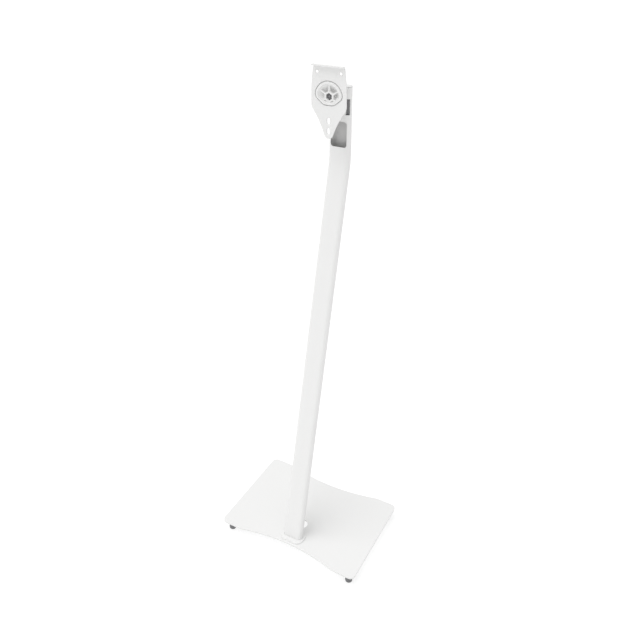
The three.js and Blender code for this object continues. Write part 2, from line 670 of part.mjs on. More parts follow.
function tiltKnuckle() {
  const flange = new THREE.Shape();
  const low = -Math.asin(FLANGE_FLAT / FLANGE_RADIUS);
  flange.absarc(0, 0, FLANGE_RADIUS, low, Math.PI - low);
  let knuckle = slabXZ(flange, -FLANGE_FRONT, -FLANGE_REAR, 9);
  const ear = new THREE.Shape();
  ear.absarc(0, 0, EAR_RADIUS, -Math.PI / 2, Math.PI / 2);
  ear.lineTo(-FLANGE_REAR - PAST, EAR_RADIUS);
  ear.lineTo(-FLANGE_REAR - PAST, -EAR_RADIUS);
  for (const left of [-EAR_OUTER, EAR_INNER]) {
    knuckle = knuckle.add(slabYZ(ear, left, left + EAR_OUTER - EAR_INNER, 5));
  }
  knuckle = knuckle.subtract(turnedX(rod(PIN_RADIUS + GAP, -ACROSS, ACROSS)));
  return knuckle.subtract(turnedY(rod(PIN_RADIUS + GAP, -ACROSS, -FLANGE_REAR + PAST)));
}

place(head, "tilt_knuckle", tiltKnuckle(), whitePlastic);
const rollWasherRear = FLANGE_FRONT + GAP;
const rollWasher = flatRing(PIN_RADIUS + GAP, ROLL_WASHER_RADIUS, ROLL_WASHER_FRONT - rollWasherRear);
place(head, "roll_washer", rollWasher, nylon, [0, -ROLL_WASHER_FRONT, 0]);

// ---- Hub ----

function hubPockets() {
  const [near, far] = [-HUB_FRONT - 2 * PAST, -HUB_REAR];
  let pockets = loftXZ([
    [hubOutline(DISH_INSET), -HUB_FRONT - PAST],
    [hubOutline(DISH_INSET), -HUB_DISH],
    [hubOutline(FLOOR_INSET), -HUB_FLOOR_REAR],
  ], HUB_SEGMENTS);
  pockets = pockets.subtract(slabXZ(hexagon(HEX_WALL_FLATS), near, far));
  const spoke = rectangle(-RIB_WIDTH / 2, 0, RIB_WIDTH, HUB_RADIUS);
  for (let i = 0; i < 6; i += 1) {
    pockets = pockets.subtract(slabXZ(spoke, near, far, 1).rotate([0, 60 * i, 0]));
  }
  return pockets;
}

function hub() {
  const flangeFront = -MOUNT_BACK + GAP;
  const boss = loftXZ([
    [hubOutline(RIM_SHOULDER), -HUB_FRONT],
    [hubOutline(RIM_SHOULDER * SHOULDER_EASE), -HUB_FRONT + RIM_SHOULDER * SHOULDER_EASE],
    [hubOutline(0), -HUB_FRONT + RIM_SHOULDER],
    [hubOutline(0), flangeFront + PAST],
  ], HUB_SEGMENTS);
  const dish = loftXZ([
    [hubOutline(RIM_INSET), -HUB_FRONT - SLIVER],
    [hubOutline(DISH_INSET), -HUB_DISH],
  ], HUB_SEGMENTS);
  const flange = slabXZ(hubOutline(HUB_FLANGE_INSET), flangeFront, -HUB_FLANGE_REAR, HUB_SEGMENTS);
  const rear = slabXZ(hubOutline(HUB_REAR_INSET), flangeFront, -HUB_REAR, HUB_SEGMENTS);
  const recess = slabXZ(hexagon(HEX_RECESS_FLATS), -HUB_FRONT - PAST, -NUT_SEAT);
  const bore = turnedY(rod(PIN_RADIUS + GAP, -HUB_FRONT, -HUB_REAR + PAST));
  const body = boss.add(flange).add(rear);
  return body.subtract(dish).subtract(hubPockets()).subtract(recess).subtract(bore);
}

place(head, "hub", hub(), whitePlastic);
const rollNut = geometryOf(hexNut(M6_THIN_NUT_HEIGHT)).rotateX(Math.PI / 2);
place(head, "roll_nut", rollNut, darkSteel, [0, -NUT_SEAT - GAP, 0]);
const rollShank = NUT_SEAT + M6_THIN_NUT_HEIGHT + THREAD_END.roll - FLANGE_REAR + 2 * GAP;
const rollBolt = domedScrew(M6_HEAD_RADIUS, M6_HEAD_HEIGHT, PIN_RADIUS, rollShank);
rollBolt.rotateX(Math.PI);
place(head, "roll_bolt", rollBolt, darkSteel, [0, -FLANGE_REAR + GAP + M6_HEAD_HEIGHT, 0]);

// ---- Mounting plate ----

// The right half of the outline, from the tip up; the left half mirrors it.
function mountOutline() {
  const sideRadius = ((PLATE_TOP - PLATE_WIDEST) ** 2) / (2 * (PLATE_HALF - PLATE_TOP_HALF));
  const sideTurn = Math.asin((PLATE_TOP - PLATE_WIDEST) / sideRadius);
  const tipZ = PLATE_TIP + PLATE_TIP_RADIUS;
  const shoulderX = PLATE_HALF - PLATE_SHOULDER_RADIUS;
  const shoulder = (turn) => [
    shoulderX + PLATE_SHOULDER_RADIUS * Math.cos(turn),
    PLATE_SHOULDER - PLATE_SHOULDER_RADIUS * Math.sin(turn),
  ];
  const tipX = PLATE_TIP_RADIUS * Math.cos(TIP_ANGLE);
  const tipEnd = tipZ - PLATE_TIP_RADIUS * Math.sin(TIP_ANGLE);
  const shape = new THREE.Shape();
  shape.absarc(0, tipZ, PLATE_TIP_RADIUS, TIP_ANGLE - Math.PI, -TIP_ANGLE);
  shape.quadraticCurveTo(...TAPER_PULL, ...shoulder(TAPER_ANGLE));
  shape.absarc(shoulderX, PLATE_SHOULDER, PLATE_SHOULDER_RADIUS, -TAPER_ANGLE, 0);
  shape.absarc(PLATE_HALF - sideRadius, PLATE_WIDEST, sideRadius, 0, sideTurn);
  shape.absarc(sideRadius - PLATE_HALF, PLATE_WIDEST, sideRadius, Math.PI - sideTurn, Math.PI);
  shape.absarc(-shoulderX, PLATE_SHOULDER, PLATE_SHOULDER_RADIUS, Math.PI, Math.PI + TAPER_ANGLE);
  shape.quadraticCurveTo(-TAPER_PULL[0], TAPER_PULL[1], -tipX, tipEnd);
  return shape;
}

// The lip's section: the sheet turns forward round a small bend and ends square.
function lipSection() {
  const thickness = MOUNT_FRONT - MOUNT_BACK;
  const outer = LIP_BEND + thickness;
  const [bendY, bendZ] = [-MOUNT_FRONT - LIP_BEND, LIP_START];
  const along = [-Math.sin(LIP_ANGLE) * LIP_LENGTH, Math.cos(LIP_ANGLE) * LIP_LENGTH];
  const tip = (radius) => [
    bendY + radius * Math.cos(LIP_ANGLE) + along[0],
    bendZ + radius * Math.sin(LIP_ANGLE) + along[1],
  ];
  const shape = new THREE.Shape();
  shape.moveTo(-MOUNT_FRONT, bendZ - LIP_OVERLAP);
  shape.lineTo(-MOUNT_BACK, bendZ - LIP_OVERLAP);
  shape.absarc(bendY, bendZ, outer, 0, LIP_ANGLE);
  shape.lineTo(...tip(outer));
  shape.lineTo(...tip(LIP_BEND));
  shape.absarc(bendY, bendZ, LIP_BEND, LIP_ANGLE, 0, true);
  return shape;
}

function slotShape(z, grow = 0) {
  const [radius, length] = [SLOT.radius + grow, SLOT.length + 2 * grow];
  const shape = new THREE.Shape();
  const half = length / 2 - radius;
  shape.absarc(0, z + half, radius, 0, Math.PI);
  shape.absarc(0, z - half, radius, Math.PI, 2 * Math.PI);
  return shape;
}

function mountPlate() {
  let plate = slabXZ(mountOutline(), -MOUNT_FRONT, -MOUNT_BACK, 5);
  plate = plate.add(slabYZ(lipSection(), -PLATE_TOP_HALF, PLATE_TOP_HALF, 3));
  const [near, far] = [-MOUNT_FRONT - PAST, -MOUNT_BACK + PAST];
  plate = plate.subtract(slabXZ(hubOutline(-OPENING_GAP), near, far, HUB_SEGMENTS));
  const fixing = turnedY(rod(FIXING_HOLE.radius, near, far));
  for (const x of [-FIXING_HOLE.x, FIXING_HOLE.x]) {
    plate = plate.subtract(fixing.translate([x, 0, FIXING_HOLE.z]));
  }
  for (const z of SLOT.centres) {
    const sink = loftXZ([
      [slotShape(z, SLOT.sink + PAST), -MOUNT_FRONT - PAST],
      [slotShape(z), -MOUNT_FRONT + SLOT.sink],
    ], SLOT_SEGMENTS);
    plate = plate.subtract(slabXZ(slotShape(z), near, far, SLOT_SEGMENTS)).subtract(sink);
  }
  return plate;
}

place(head, "mount_plate", mountPlate(), whitePaint);

export default stand;
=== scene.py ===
import json
import math

import bmesh
import bpy
from mathutils import Matrix, Vector


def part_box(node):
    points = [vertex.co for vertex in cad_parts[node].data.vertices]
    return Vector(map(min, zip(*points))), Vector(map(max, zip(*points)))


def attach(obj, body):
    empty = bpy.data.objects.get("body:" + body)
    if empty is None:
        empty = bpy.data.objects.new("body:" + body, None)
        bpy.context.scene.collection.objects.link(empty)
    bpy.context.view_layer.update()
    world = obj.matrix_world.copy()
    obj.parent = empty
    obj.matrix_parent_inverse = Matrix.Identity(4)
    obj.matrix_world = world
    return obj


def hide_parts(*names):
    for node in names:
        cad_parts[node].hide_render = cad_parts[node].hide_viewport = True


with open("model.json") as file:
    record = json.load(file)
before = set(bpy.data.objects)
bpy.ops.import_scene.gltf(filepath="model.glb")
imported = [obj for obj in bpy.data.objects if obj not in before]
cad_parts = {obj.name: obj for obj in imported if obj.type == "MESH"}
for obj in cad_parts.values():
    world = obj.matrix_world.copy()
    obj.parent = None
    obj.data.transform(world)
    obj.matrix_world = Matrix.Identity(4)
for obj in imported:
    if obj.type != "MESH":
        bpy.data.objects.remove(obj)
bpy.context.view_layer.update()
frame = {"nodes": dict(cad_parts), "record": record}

MM = 0.001
RECORD = frame["record"]

# ---- Places, in millimetres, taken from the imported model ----


def box_mm(node):
    low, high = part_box(node)
    return Vector(low) / MM, Vector(high) / MM


base_low, base_high = box_mm("base_plate")
DECK = Vector((0, (base_low.y + base_high.y) / 2, base_high.z))  # middle of the plate's top
spacer_low, spacer_high = box_mm("tilt_spacer")
PIN = (spacer_low + spacer_high) / 2  # middle of the tilt bolt
POLE_BACK = box_mm("pole_tube")[1].y
POLE_TOP = box_mm("pole_cap")[1].z
FOOT_TOP = box_mm("foot_front_left")[1].z

# ---- Sizes in millimetres, the same as the CAD's ----

CLEARANCE = 0.3

BASE = {"width": 350, "depth": 240, "thickness": 5, "corner": 12, "edge": 0.9}
EDGE_ARC = {"sagitta": 16.5, "half_chord": 122, "fillet": 60}
CABLE_HOLE = {"radius": 12.5, "y": -37.5}
ANCHOR_BOLT_X = 12
FOOT = {"radius": 8.2, "bore": 5.1, "seat": 10, "clearance": 2.8}

POLE = {"width": 46, "depth": 17.5, "wall": 1.5, "foot_y": -79.5, "lean": math.radians(14)}
BEND = {"height": 852, "radius": 150}
WINDOW = {"half": 17.25, "bottom": 878.5, "top": 929, "corner": 6}
NOTCH = {"half": 60, "bottom": 942.5, "top": 972.5, "corner": 1.2, "depth": 5.3}
INLET = {"half": 11, "bottom": 38, "top": 82, "corner": 9, "depth": 35}
COLLAR = {"half_width": 28, "half_depth": 19, "corner": 15, "height": 3.2}
UPPER_Y = POLE_BACK - DECK.y - POLE["depth"] / 2
POLE_FRONT = UPPER_Y - POLE["depth"] / 2
CAP_TOP = POLE_TOP - DECK.z

# Radii of shanks and heads, and the heads' heights.
M6, M5 = 3.0, 2.5
M6_HEAD, M5_HEAD = (5.25, 3.3), (4.7, 2.7)
M6_BORE, M5_BORE = M6 + CLEARANCE, M5 + CLEARANCE
NUT_FLATS = 10
NECK_SCREW_LENGTH = 13.5
NECK_SCREW_DROPS = {"upper": -4.5, "lower": -46}
ARM_SCREW_DROPS = (-19, -34)

# Head pieces, measured from the tilt bolt: half widths along X and distances along Y.
CHEEK = {"inner": 11.8, "outer": 14.3, "boss": 10, "boss_end": math.radians(214), "web_rear": 18.2}
EAR = {"inner": 6.2, "outer": 10.2, "radius": 8.5}
FLANGE = {"radius": 18, "flat": 13, "front": -14.6, "rear": -11.1}
HUB_REAR, NUT_SEAT, MOUNT_BACK, MOUNT_FRONT, HUB_FRONT = -16.5, -20.3, -25.1, -27.6, -28.9

# Hub: each section is the outline of the rim, moved in by its inset.
HUB = {"radius": 27.6, "flat": 15.3, "chamfer": 18.6, "angle": math.radians(51)}
HUB_CORNER, HUB_FLAT_SHARE = 6, 0.8
RIM_SHOULDER, RIM_INSET = 2.4, 4.4
DISH = {"inset": 6.4, "y": -26.3}
POCKET_FLOOR = {"inset": 15, "y": -17.9}
HUB_FLANGE = {"inset": -4, "rear": -21.4}
HUB_REAR_INSET = 3.4
RIB_HALF = 1.4
HEX_WALL_FLATS, HEX_RECESS_FLATS = 18.4, 11.8

# Mounting plate, measured from the hub's axis.
PLATE = {"top": 53.1, "top_half": 32.2, "half": 36.4, "tip_v": -68.6, "tip_radius": 9.5}
PLATE_SHOULDER = {"radius": 12, "v": -16.6}
TAPER, TIP_TURN, TAPER_PULL = math.radians(34), math.radians(18), (15.3, -51)
LIP = {"angle": math.radians(88), "length": 6.5, "bend": 1.5, "start": 52.6}
LIP_NEUTRAL = LIP["bend"] + (MOUNT_BACK - MOUNT_FRONT) / 2  # radius at the middle of the bent sheet
OPENING_GAP = 1.4
SLOT = {"radius": 3, "length": 11, "centres": (-45, -64)}
SLOT_FLARES = ((2.2, -0.2), (2, 0), (0.7, 0.9), (0, 2))  # growth of the slot and depth into the plate
FIXING_HOLE = {"radius": 2.6, "u": 24.3, "v": 43}

SHARP = 0.02  # the least rounding that a slab's edges can have
HUB_EDGE = 0.35

# ---- Outlines: lists of (u, v) points, anticlockwise ----


def arc(cu, cv, radius, start, end, steps=16):
    turns = [start + (end - start) * i / steps for i in range(steps + 1)]
    return [(cu + radius * math.cos(t), cv + radius * math.sin(t)) for t in turns]


def quadratic(a, b, c, steps=24):
    points = []
    for i in range(steps + 1):
        t = i / steps
        weights = ((1 - t) ** 2, 2 * t * (1 - t), t * t)
        points.append(tuple(sum(w * p[k] for w, p in zip(weights, (a, b, c))) for k in (0, 1)))
    return points


def tidy(points, least=0.02):
    kept = []
    for p in points:
        if not kept or math.dist(p, kept[-1]) > least:
            kept.append(p)
    if math.dist(kept[0], kept[-1]) <= least:
        kept.pop()
    return kept


def rounded_box(left, bottom, right, top, radius, steps=8):
    q = math.pi / 2
    return tidy(
        arc(right - radius, bottom + radius, radius, -q, 0, steps)
        + arc(right - radius, top - radius, radius, 0, q, steps)
        + arc(left + radius, top - radius, radius, q, 2 * q, steps)
        + arc(left + radius, bottom + radius, radius, 2 * q, 3 * q, steps)
    )


def circle(radius, cu=0, cv=0, steps=48):
    return arc(cu, cv, radius, 0, 2 * math.pi, steps)[:-1]


def oval(width, depth, steps=20):
    offset, q = (width - depth) / 2, math.pi / 2
    return arc(offset, 0, depth / 2, -q, q, steps) + arc(-offset, 0, depth / 2, q, 3 * q, steps)


def hexagon(flats):
    return arc(0, 0, flats / math.sqrt(3), math.pi / 2, 2.5 * math.pi, 6)[:-1]


def obround(radius, length, cv):
    half = length / 2 - radius
    return arc(0, cv + half, radius, 0, math.pi, 16) + arc(0, cv - half, radius, math.pi, 2 * math.pi, 16)


def turned_about(points, angle):
    c, s = math.cos(angle), math.sin(angle)
    return [(u * c - v * s, u * s + v * c) for u, v in points]


# ---- Solids, as bmesh, in millimetres ----

# Planes that an outline is laid in: u and v become the two letters' axes.
XY = Matrix.Identity(4)
XZ = Matrix(((1, 0, 0, 0), (0, 0, -1, 0), (0, 1, 0, 0), (0, 0, 0, 1)))
YZ = Matrix(((0, 0, 1, 0), (1, 0, 0, 0), (0, 1, 0, 0), (0, 0, 0, 1)))


def to_object(bm, name="scratch"):
    mesh = bpy.data.meshes.new(name)
    bm.to_mesh(mesh)
    bm.free()
    obj = bpy.data.objects.new(name, mesh)
    bpy.context.scene.collection.objects.link(obj)
    return obj


def evaluated(obj):
    graph = bpy.context.evaluated_depsgraph_get()
    bm = bmesh.new()
    bm.from_mesh(obj.evaluated_get(graph).to_mesh())
    return bm


def discard(*objects):
    for obj in objects:
        data = obj.data
        bpy.data.objects.remove(obj)
        (bpy.data.meshes if isinstance(data, bpy.types.Mesh) else bpy.data.curves).remove(data)


def clean(bm, weld=0.002, flat=0.2):
    bmesh.ops.remove_doubles(bm, verts=bm.verts, dist=weld)
    bmesh.ops.dissolve_limit(bm, angle_limit=math.radians(flat), verts=bm.verts, edges=bm.edges)
    bmesh.ops.recalc_face_normals(bm, faces=bm.faces)
    return bm


def slab(outline, low, high, edge=0.4, holes=(), plane=XY, steps=3):
    """An outline with holes, given thickness, with rounded edges."""
    curve = bpy.data.curves.new("slab", "CURVE")
    curve.dimensions = "2D"
    curve.fill_mode = "BOTH"
    curve.extrude = (high - low) / 2 - edge
    curve.bevel_depth = edge
    curve.bevel_resolution = steps - 1
    curve.offset = -edge
    for loop in (outline, *holes):
        spline = curve.splines.new("POLY")
        spline.points.add(len(loop) - 1)
        for point, (u, v) in zip(spline.points, loop):
            point.co = (u, v, 0, 1)
        spline.use_cyclic_u = True
    obj = bpy.data.objects.new("slab", curve)
    bpy.context.scene.collection.objects.link(obj)
    bm = evaluated(obj)
    discard(obj)
    clean(bm)
    bmesh.ops.translate(bm, vec=(0, 0, (low + high) / 2), verts=bm.verts)
    bm.transform(plane)
    return bm


def slab_y(outline, near, far, edge=0.4, holes=(), steps=3):
    return slab(outline, -far, -near, edge, holes, XZ, steps)


def combine(operation, first, *others):
    """first with each of the others cut from it, joined to it or kept where both are."""
    for other in others:
        a, b = to_object(first), to_object(other)
        modifier = a.modifiers.new("combine", "BOOLEAN")
        modifier.object = b
        modifier.operation = operation
        modifier.solver = "EXACT"
        first = evaluated(a)
        discard(a, b)
        clean(first)
    return first


def moved(bm, *offset):
    bmesh.ops.translate(bm, vec=offset, verts=bm.verts)
    return bm


def soften(bm, width, least=35, segments=2):
    """Rounds every edge sharper than least degrees."""
    sharp = [e for e in bm.edges if len(e.link_faces) == 2 and e.calc_face_angle(0) > math.radians(least)]
    bmesh.ops.bevel(
        bm, geom=sharp, offset=width, segments=segments, profile=0.5, affect="EDGES", clamp_overlap=True
    )
    return bm


def rings(loops, closed=False):
    """Skins loops of 3-D points that all have the same count, and caps the ends unless closed."""
    bm = bmesh.new()
    rows = [[bm.verts.new(p) for p in loop] for loop in loops]
    count = len(rows[0])
    pairs = list(zip(rows, rows[1:])) + ([(rows[-1], rows[0])] if closed else [])
    for below, above in pairs:
        for i in range(count):
            j = (i + 1) % count
            bm.faces.new((below[i], below[j], above[j], above[i]))
    if not closed:
        bm.faces.new(list(reversed(rows[0])))
        bm.faces.new(rows[-1])
    bmesh.ops.recalc_face_normals(bm, faces=bm.faces)
    return bm


def rounded_profile(points, radius, steps=4):
    """Points of a profile with each inner corner turned into a small arc."""
    out = [points[0]]
    for a, b, c in zip(points, points[1:], points[2:]):
        va, vc = Vector(a) - Vector(b), Vector(c) - Vector(b)
        r = min(radius, va.length * 0.45, vc.length * 0.45)
        start, end = Vector(b) + va.normalized() * r, Vector(b) + vc.normalized() * r
        out += quadratic(tuple(start), b, tuple(end), steps)
    return tidy(out + [points[-1]], 0.005) if points[0] != points[-1] else out


def turned(profile, steps=48):
    """Turns (radius, height) pairs about Z. A profile starts and ends on the axis, or is a closed loop."""
    ring = profile[0][0] > 1e-6
    body = profile if ring else profile[1:-1]
    angles = [2 * math.pi * i / steps for i in range(steps)]
    return rings([[(r * math.cos(a), r * math.sin(a), h) for a in angles] for r, h in body], closed=ring)


# ---- Materials ----


def material(name, color, roughness, metallic=0.0, grain=900, bump=0.05, vary=0.03):
    """A finish with fine surface grain, slow colour change and uneven gloss."""
    made = bpy.data.materials.new(name)
    made.use_nodes = True
    nodes, link = made.node_tree.nodes, made.node_tree.links.new
    shader = nodes["Principled BSDF"]
    shader.inputs["Metallic"].default_value = metallic
    place = nodes.new("ShaderNodeTexCoord")
    fine = nodes.new("ShaderNodeTexNoise")
    fine.inputs["Scale"].default_value = grain
    fine.inputs["Detail"].default_value = 3
    link(place.outputs["Object"], fine.inputs["Vector"])
    raised = nodes.new("ShaderNodeBump")
    raised.inputs["Strength"].default_value = bump
    raised.inputs["Distance"].default_value = 0.0004
    link(fine.outputs["Fac"], raised.inputs["Height"])
    link(raised.outputs["Normal"], shader.inputs["Normal"])
    slow = nodes.new("ShaderNodeTexNoise")
    slow.inputs["Scale"].default_value = 14
    slow.inputs["Detail"].default_value = 4
    link(place.outputs["Object"], slow.inputs["Vector"])
    tint = nodes.new("ShaderNodeMix")
    tint.data_type = "RGBA"
    tint.inputs["A"].default_value = (*[c * (1 - vary) for c in color], 1)
    tint.inputs["B"].default_value = (*[min(1, c * (1 + vary)) for c in color], 1)
    link(slow.outputs["Fac"], tint.inputs["Factor"])
    link(tint.outputs["Result"], shader.inputs["Base Color"])
    gloss = nodes.new("ShaderNodeMapRange")
    gloss.inputs["To Min"].default_value = roughness * 0.85
    gloss.inputs["To Max"].default_value = min(1, roughness * 1.15)
    link(fine.outputs["Fac"], gloss.inputs["Value"])
    link(gloss.outputs["Result"], shader.inputs["Roughness"])
    return made


LOOKS = {
    "white_paint": material("white_paint", (0.78, 0.78, 0.775), 0.5, grain=1100, bump=0.12, vary=0.008),
    # Painted shade: a darker grey copy of the white paint, put on the inside of the pole's bore.
    "painted_bore_shade": material("painted_bore_shade", (0.6, 0.6, 0.595), 0.6, grain=900, bump=0.15, vary=0.03),
    "white_plastic": material("white_plastic", (0.785, 0.785, 0.78), 0.42, grain=1800, bump=0.05, vary=0.006),
    "foot_rubber": material("foot_rubber", (0.17, 0.17, 0.175), 0.75, grain=1200, bump=0.2, vary=0.15),
    "zinc_steel": material("zinc_steel", (0.6, 0.61, 0.63), 0.35, 1, grain=700, bump=0.05, vary=0.08),
    "dark_steel": material("dark_steel", (0.2, 0.2, 0.205), 0.42, 0.6, grain=900, bump=0.08, vary=0.12),
    "nylon": material("nylon", (0.75, 0.74, 0.69), 0.5, grain=1500, bump=0.06, vary=0.03),
    "dark_plastic": material("dark_plastic", (0.19, 0.19, 0.195), 0.55, grain=1400, bump=0.12, vary=0.06),
}

# ---- Putting pieces in the scene ----


def shade(obj, sharp=32):
    mesh = obj.data
    mesh.polygons.foreach_set("use_smooth", [True] * len(mesh.polygons))
    mesh.set_sharp_from_angle(angle=math.radians(sharp))
    weigh = obj.modifiers.new("even_shading", "WEIGHTED_NORMAL")
    weigh.keep_sharp = True
    weigh.weight = 80


def piece(name, bm, look, body, replaced, origin=DECK):
    bmesh.ops.translate(bm, vec=origin, verts=bm.verts)
    bmesh.ops.scale(bm, vec=(MM, MM, MM), verts=bm.verts)
    bmesh.ops.recalc_face_normals(bm, faces=bm.faces)
    obj = to_object(bm, name)
    obj.data.materials.append(LOOKS[look])
    shade(obj)
    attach(obj, body)
    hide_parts(*replaced)
    return obj


# ---- Base plate ----


def long_edge(side):
    line = side * BASE["depth"] / 2
    chord, sagitta, fillet = EDGE_ARC["half_chord"], EDGE_ARC["sagitta"], EDGE_ARC["fillet"]
    radius = (chord**2 + sagitta**2) / (2 * sagitta)
    centre, fillet_v = line + side * (radius - sagitta), line - side * fillet
    reach = radius + fillet
    u = side * math.sqrt(reach**2 - (centre - fillet_v) ** 2)
    turn = math.asin(abs(u) / reach)
    out = side * math.pi / 2
    return (
        arc(u, fillet_v, fillet, out, out + turn, 16)
        + arc(0, centre, radius, -out + turn, -out - turn, 56)
        + arc(-u, fillet_v, fillet, out - turn, out, 16)
    )


def base_outline():
    q, r = math.pi / 2, BASE["corner"]
    u, v = BASE["width"] / 2 - r, BASE["depth"] / 2 - r
    return tidy(
        arc(u, v, r, 0, q)
        + long_edge(1)
        + arc(-u, v, r, q, 2 * q)
        + arc(-u, -v, r, 2 * q, 3 * q)
        + long_edge(-1)
        + arc(u, -v, r, 3 * q, 4 * q)
    )


anchor_low, anchor_high = box_mm("anchor_bolt_left")
ANCHOR_Y = (anchor_low.y + anchor_high.y) / 2 - DECK.y
holes = [circle(CABLE_HOLE["radius"], 0, CABLE_HOLE["y"], 64)]
holes += [circle(M6_BORE, x, ANCHOR_Y, 32) for x in (-ANCHOR_BOLT_X, ANCHOR_BOLT_X)]
plate = slab(base_outline(), -BASE["thickness"], 0, BASE["edge"], holes, steps=4)
piece("base_sheet", plate, "white_paint", "stand", ["base_plate"])

# ---- Fasteners: standing on the head, shank up ----


def threaded(radius, low, high, pitch=1.0):
    depth, points, h = 0.34 * pitch, [], low
    while h + pitch <= high - 0.6:
        points += [(radius, h), (radius - depth, h + pitch / 2)]
        h += pitch
    return points + [(radius, h), (radius, high - 0.7), (radius - 0.7, high)]


def domed_screw(head_radius, head_height, radius, length, pitch=0.9):
    top = head_height + length
    head = quadratic((head_radius * 0.5, 0), (head_radius * 0.97, 0), (head_radius, head_height * 0.75), 10)
    rest = [(head_radius, head_height - 0.15), (head_radius - 0.15, head_height), (radius, head_height)]
    bm = turned([(0, 0)] + head + rest + threaded(radius, head_height + 1, top, pitch) + [(0, top)], 40)
    socket = slab(hexagon(head_radius * 0.78), -1, head_height * 0.62, 0.05, steps=1)
    return combine("DIFFERENCE", bm, socket)


def aimed(bm, direction):
    """Turns a screw made along +Z so that its shank points that way."""
    bm.transform(Vector((0, 0, 1)).rotation_difference(Vector(direction)).to_matrix().to_4x4())
    return bm


def screw_for(node, look, body, direction, head, radius):
    low, high = box_mm(node)
    middle, axis = (low + high) / 2, Vector(direction)
    long = abs((high - low).dot(axis))
    bm = aimed(domed_screw(head[0], head[1], radius, long - head[1]), direction)
    piece(node + "_piece", bm, look, body, [node], middle - axis * long / 2)


corners = ("front_left", "front_right", "rear_left", "rear_right")
for corner in corners:
    screw_for(f"foot_screw_{corner}", "zinc_steel", "stand", (0, 0, 1), M5_HEAD, M5)
for side in ("left", "right"):
    screw_for(f"anchor_bolt_{side}", "zinc_steel", "stand", (0, 0, 1), M6_HEAD, M6)
for level in ("upper", "lower"):
    screw_for(f"arm_screw_{level}", "zinc_steel", "stand", (0, 1, 0), M5_HEAD, M5)
screw_for("tilt_bolt", "dark_steel", "stand", (-1, 0, 0), M6_HEAD, M6)
screw_for("roll_bolt", "dark_steel", "knuckle", (0, -1, 0), M6_HEAD, M6)

# ---- Feet ----


def foot():
    h, r, bore, narrow, seat = FOOT_TOP, FOOT["radius"], FOOT["bore"], FOOT["clearance"], FOOT["seat"]
    underside = [(bore, 0), (r - 1.0, 0)]
    side = [(r - 0.35, 0.9), (r - 0.2, 3), (r, h - 1.2), (r - 0.9, h)]
    inside = [(narrow, h), (narrow, seat + 0.5), (narrow, seat), (bore, seat), (bore, 0.4), (bore, 0)]
    return turned(rounded_profile(underside + side + inside, 0.5, 3)[:-1], 56)


for corner in corners:
    low, high = box_mm(f"foot_{corner}")
    place = Vector(((low.x + high.x) / 2, (low.y + high.y) / 2, 0))
    piece(f"foot_{corner}_piece", foot(), "foot_rubber", "stand", [f"foot_{corner}"], place)

# ---- Pole ----


def pole_station(z):
    """The pole's axis at a height above the base plate: (y, lean)."""
    lean, radius = POLE["lean"], BEND["radius"]
    setback = radius * math.tan(lean / 2)
    centre_y, centre_z = UPPER_Y - radius, BEND["height"] + setback
    low = centre_z - radius * math.sin(lean)
    if z <= low:
        return POLE["foot_y"] + z * math.tan(lean), lean
    if z >= centre_z:
        return UPPER_Y, 0.0
    angle = math.asin((centre_z - z) / radius)
    return centre_y + radius * math.cos(angle), angle


def level_ring(width, depth, z, steps=20):
    """The pole's section cut level at a height."""
    y, lean = pole_station(z)
    return [(u, y + v / math.cos(lean), z) for u, v in oval(width, depth, steps=steps)]


def stations(low, high, steps=14):
    """Heights for the pole's rings: closer together through the bend."""
    bottom, top = BEND["height"] - 24, BEND["height"] + 22
    middle = [bottom + (top - bottom) * i / steps for i in range(steps + 1)]
    straight = [low + (bottom - low) * i / 12 for i in range(12)]
    return straight + middle + [high]


def pole_bar(width, depth, low, high):
    return rings([level_ring(width, depth, z) for z in stations(low, high)])


def at_pole_back(bm, drop):
    """Lays a turned piece along Y, with its top at the pole's back and at a height from the tilt bolt."""
    bm.transform(Matrix.Rotation(-math.pi / 2, 4, "X"))
    return moved(bm, 0, UPPER_Y + POLE["depth"] / 2, PIN.z - DECK.z + drop)


def countersink(drop):
    deep, bore, rim = -16, M5_BORE, M5_HEAD[0] + CLEARANCE
    profile = [(0, deep), (bore, deep), (bore, -2.4), (rim, -0.1), (rim, 1), (0, 1)]
    return at_pole_back(turned(profile, 40), drop)


def opening(sizes, near, far):
    """The cutter for one of the pole's openings."""
    outline = rounded_box(-sizes["half"], sizes["bottom"], sizes["half"], sizes["top"], sizes["corner"])
    return slab_y(outline, near, far, 0.05, steps=1)


def pole_tube():
    width, depth, wall = POLE["width"], POLE["depth"], POLE["wall"]
    top = CAP_TOP - 2 - CLEARANCE
    bm = pole_bar(width, depth, CLEARANCE, top)
    bm = combine("DIFFERENCE", bm, pole_bar(width - 2 * wall, depth - 2 * wall, -2, top + 3))
    inlet_y = pole_station((INLET["bottom"] + INLET["top"]) / 2)[0]
    cutters = [
        opening(WINDOW, POLE_FRONT - 5, UPPER_Y),
        opening(NOTCH, POLE_FRONT - 5, POLE_FRONT + NOTCH["depth"]),
        opening(INLET, inlet_y, inlet_y + INLET["depth"]),
    ]
    bm = combine("DIFFERENCE", bm, *cutters, *[countersink(drop) for drop in NECK_SCREW_DROPS.values()])
    return soften(bm, 0.3)


def paint_bore_shade(obj):
    """Painted shade: the tube's bore gets a darker grey than the outside, standing in for the shade inside
    the tube.
    """
    obj.data.materials.append(LOOKS["painted_bore_shade"])
    half_u, half_v = POLE["width"] / 2 - POLE["wall"], POLE["depth"] / 2 - POLE["wall"]
    for face in obj.data.polygons:
        centre = face.center / MM - DECK
        y, lean = pole_station(centre.z)
        across = (centre.y - y) * math.cos(lean)
        beyond = max(0, abs(centre.x) - half_u + half_v)
        if math.hypot(beyond, across) < half_v + 0.1:
            face.material_index = 1


paint_bore_shade(piece("pole", pole_tube(), "white_paint", "stand", ["pole_tube"]))


